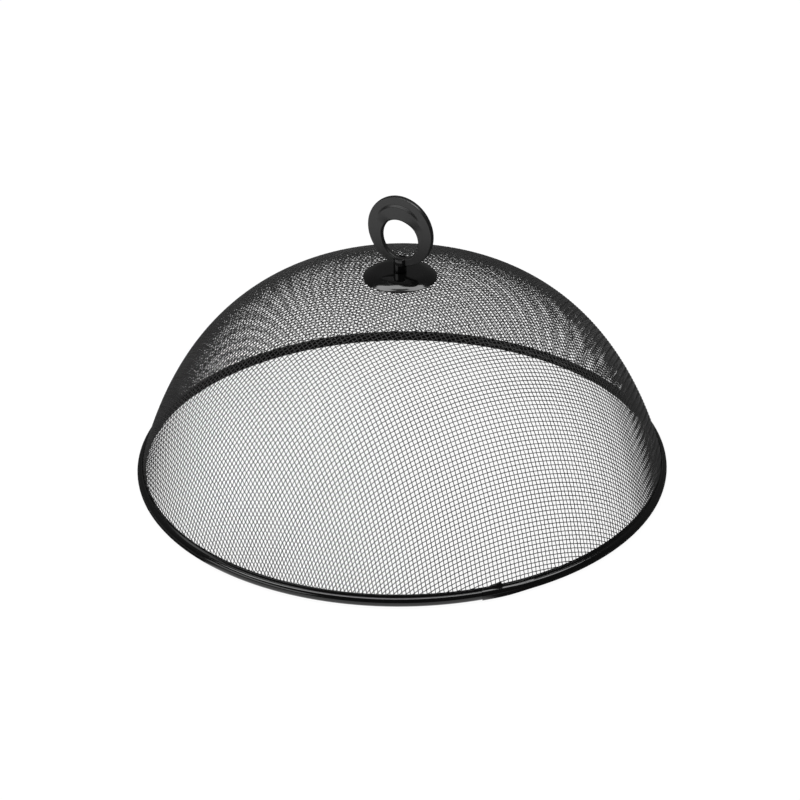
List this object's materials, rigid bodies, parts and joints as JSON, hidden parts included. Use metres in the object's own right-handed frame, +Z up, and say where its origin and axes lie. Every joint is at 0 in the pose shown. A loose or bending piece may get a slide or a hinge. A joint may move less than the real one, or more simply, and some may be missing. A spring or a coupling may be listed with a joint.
{
  "type": "food cover",
  "caption": "Domed wire-net food cover with a rolled rim strip and an upright ring handle on a post and disc at its crown.",
  "frame": {"origin": "centre of the open rim, on the plane that it rests on, below the crown", "axes": "+Z up through the crown, post and ring handle; the ring handle lies in the XZ plane, so a finger goes through it along Y"},
  "size_m": [0.35, 0.35, 0.1912],
  "materials": {
    "black_wire": "satin black coated wire",
    "gloss_black_lacquer": "gloss black lacquer",
    "satin_black_coat": "satin dark grey-black coat",
    "plated_steel": "bright plated steel"
  },
  "bodies": {
    "root": {"mesh_dome": "black_wire", "rim_band": "gloss_black_lacquer", "rim_core_wire": "plated_steel", "base_disc": "gloss_black_lacquer", "handle_post": "gloss_black_lacquer", "ring_handle": "satin_black_coat", "backing_washer": "plated_steel", "handle_screw": "plated_steel"}
  },
  "joints": []
}
